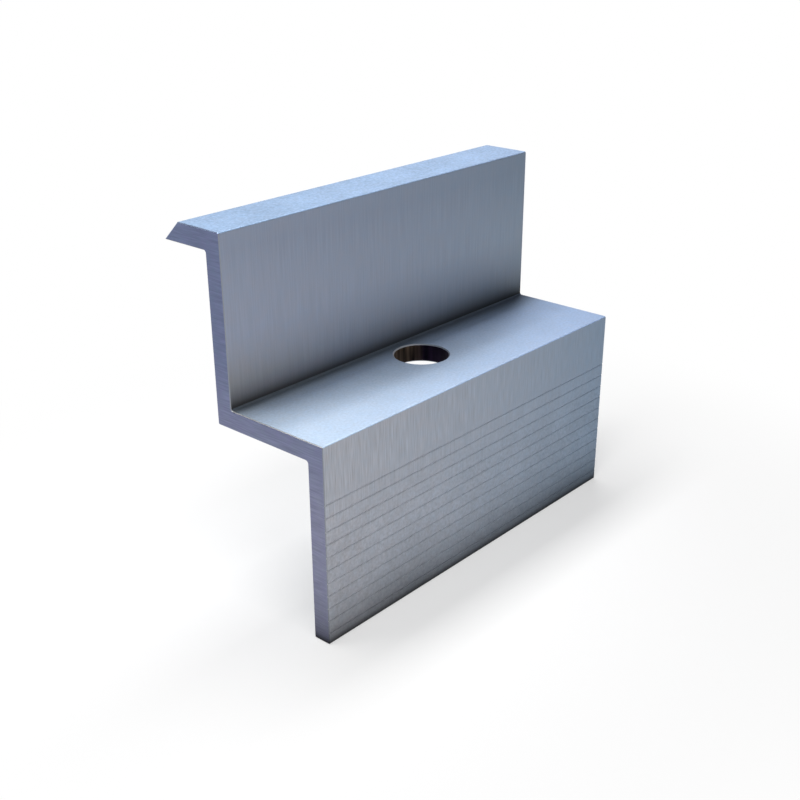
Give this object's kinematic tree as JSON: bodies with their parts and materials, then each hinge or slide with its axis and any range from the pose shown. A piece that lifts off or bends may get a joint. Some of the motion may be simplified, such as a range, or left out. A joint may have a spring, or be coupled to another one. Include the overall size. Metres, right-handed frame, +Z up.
{
  "type": "solar end clamp",
  "caption": "Z-shaped end clamp for a framed solar module: a lip over a web, a shelf with a bolt hole, and a leg with fine grooves along its front, sawn off an aluminium extrusion.",
  "frame": {"origin": "on the bolt hole's axis, at the shelf's top face, where the bolt's head seats", "axes": "+X along the extrusion, +Y from the grooved leg towards the lip that reaches over the module frame, +Z up along the bolt, towards its head"},
  "size_m": [0.051, 0.0222, 0.0422],
  "materials": {
    "aluminium": "satin mill finish with fine brushed lines"
  },
  "bodies": {
    "root": {"end_clamp": "aluminium"}
  },
  "joints": []
}
